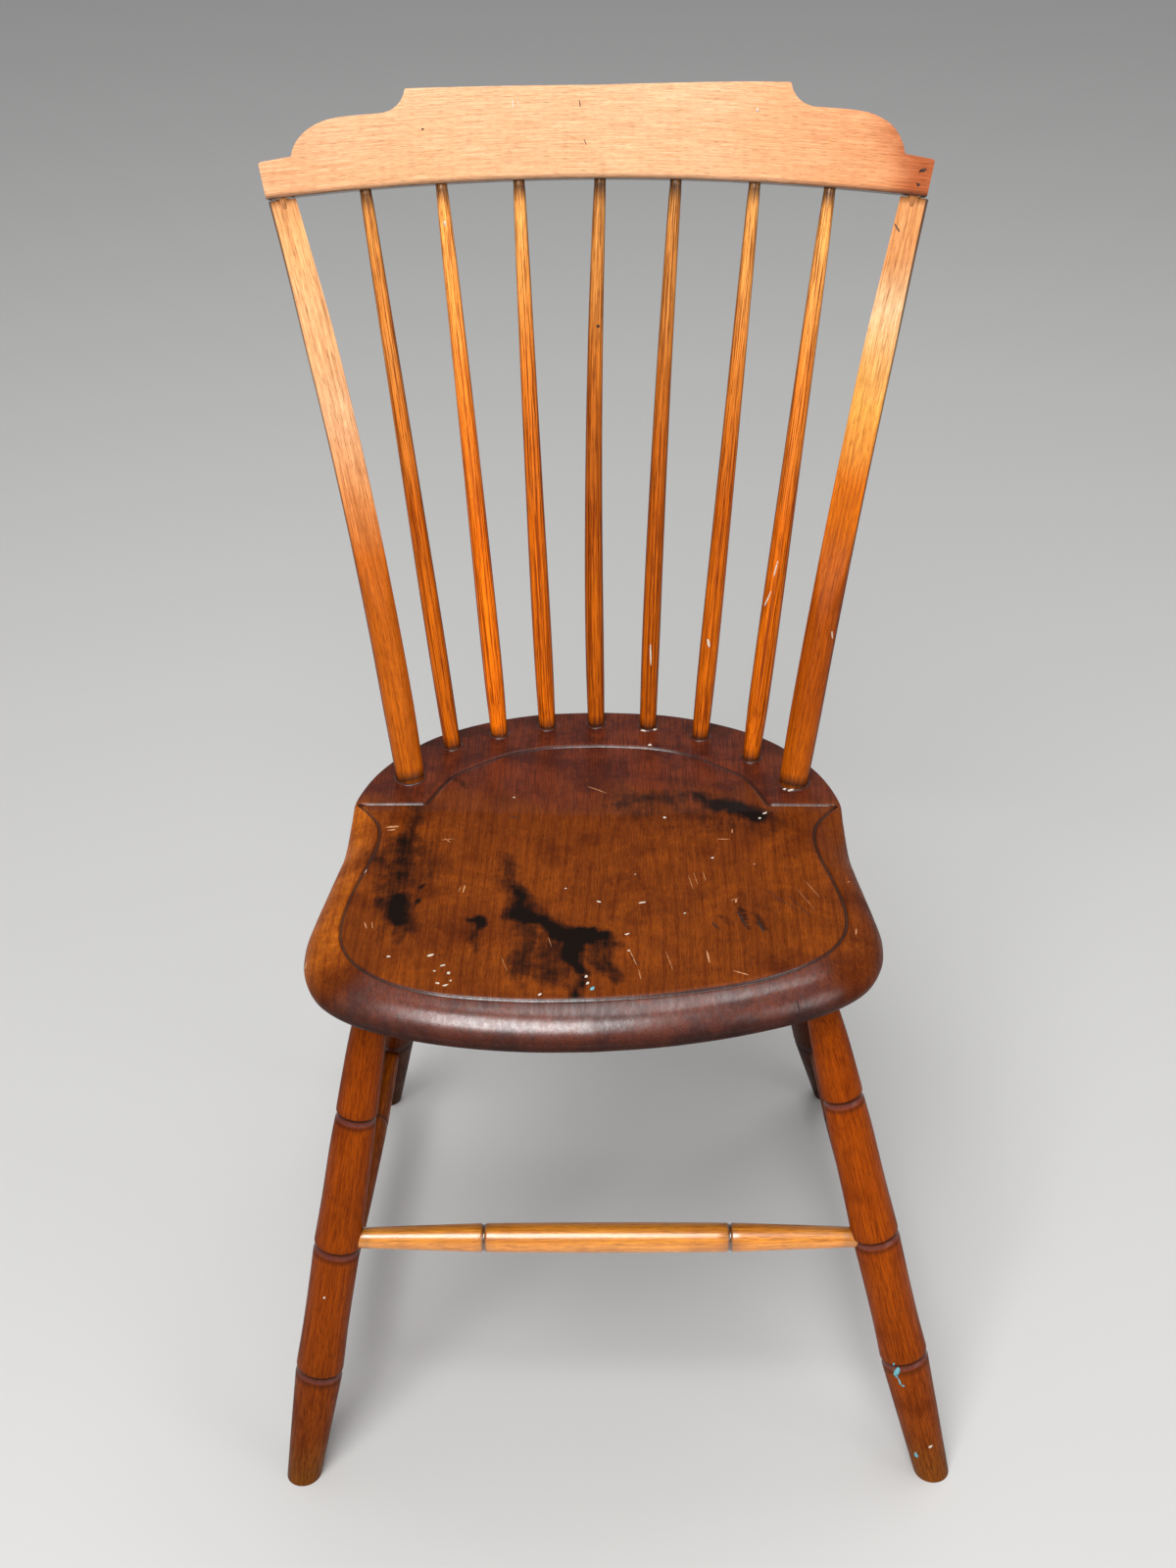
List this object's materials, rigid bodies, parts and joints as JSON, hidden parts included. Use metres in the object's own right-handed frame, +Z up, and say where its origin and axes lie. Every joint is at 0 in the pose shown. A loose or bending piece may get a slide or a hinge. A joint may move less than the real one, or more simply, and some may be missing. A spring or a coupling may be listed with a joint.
{
  "type": "side chair",
  "caption": "Wooden side chair with a shaped plank seat, bamboo-turned legs and stretchers, bent posts, spindles and a stepped crest rail.",
  "frame": {"origin": "floor level, under the middle of the chair's bounding box", "axes": "+Z up, +Y from the front of the seat towards the back, +X to the right of someone who faces the chair"},
  "size_m": [0.4889, 0.5051, 0.8778],
  "materials": {
    "seat_wood": "worn stained varnish, red-brown, dull",
    "leg_wood": "worn clear varnish, brown-orange, satin",
    "stretcher_wood": "worn clear varnish, orange-brown, satin",
    "post_wood": "worn clear varnish, orange below and pale tan above, satin",
    "spindle_wood": "worn clear varnish, orange-brown, satin",
    "crest_wood": "worn clear varnish, pale tan, satin"
  },
  "bodies": {
    "root": {"seat": "seat_wood", "leg_front_left": "leg_wood", "leg_front_right": "leg_wood", "leg_back_left": "leg_wood", "leg_back_right": "leg_wood", "stretcher_front": "stretcher_wood", "stretcher_back": "stretcher_wood", "stretcher_left": "stretcher_wood", "stretcher_right": "stretcher_wood", "post_left": "post_wood", "post_right": "post_wood", "spindle_1": "spindle_wood", "spindle_2": "spindle_wood", "spindle_3": "spindle_wood", "spindle_4": "spindle_wood", "spindle_5": "spindle_wood", "spindle_6": "spindle_wood", "spindle_7": "spindle_wood", "crest_rail": "crest_wood"}
  },
  "joints": []
}
